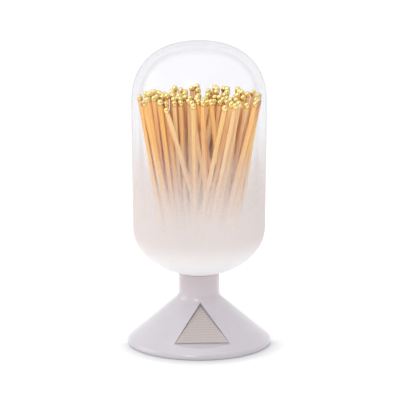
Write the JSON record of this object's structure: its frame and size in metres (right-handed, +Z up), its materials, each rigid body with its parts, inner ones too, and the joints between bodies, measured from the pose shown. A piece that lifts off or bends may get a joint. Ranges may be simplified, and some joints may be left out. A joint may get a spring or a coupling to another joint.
{
  "type": "match striker",
  "caption": "Blown glass cloche full of long wooden matches with gold heads, stood on a glazed conical base with a three-cornered striking patch in its front.",
  "frame": {"origin": "on the table, on the vertical axis of the base and the cloche", "axes": "+Z up along the axis; -Y towards the front, where the striking patch is"},
  "size_m": [0.0812, 0.0812, 0.1716],
  "materials": {
    "glazed_base": "gloss",
    "cloche_glass": "clear above, frosted warm white below",
    "striker": "matte, gritty",
    "match_wood": "bare sawn wood",
    "match_heads": "dipped composition with a metallic gold gloss"
  },
  "bodies": {
    "root": {"base": "glazed_base", "glass_cloche": "cloche_glass", "striker_patch": "striker", "match_sticks_ring_1": "match_wood", "match_sticks_ring_2": "match_wood", "match_sticks_ring_3": "match_wood", "match_sticks_ring_4": "match_wood", "match_sticks_ring_5": "match_wood", "match_sticks_ring_6": "match_wood", "match_heads_ring_1": "match_heads", "match_heads_ring_2": "match_heads", "match_heads_ring_3": "match_heads", "match_heads_ring_4": "match_heads", "match_heads_ring_5": "match_heads", "match_heads_ring_6": "match_heads"}
  },
  "joints": []
}
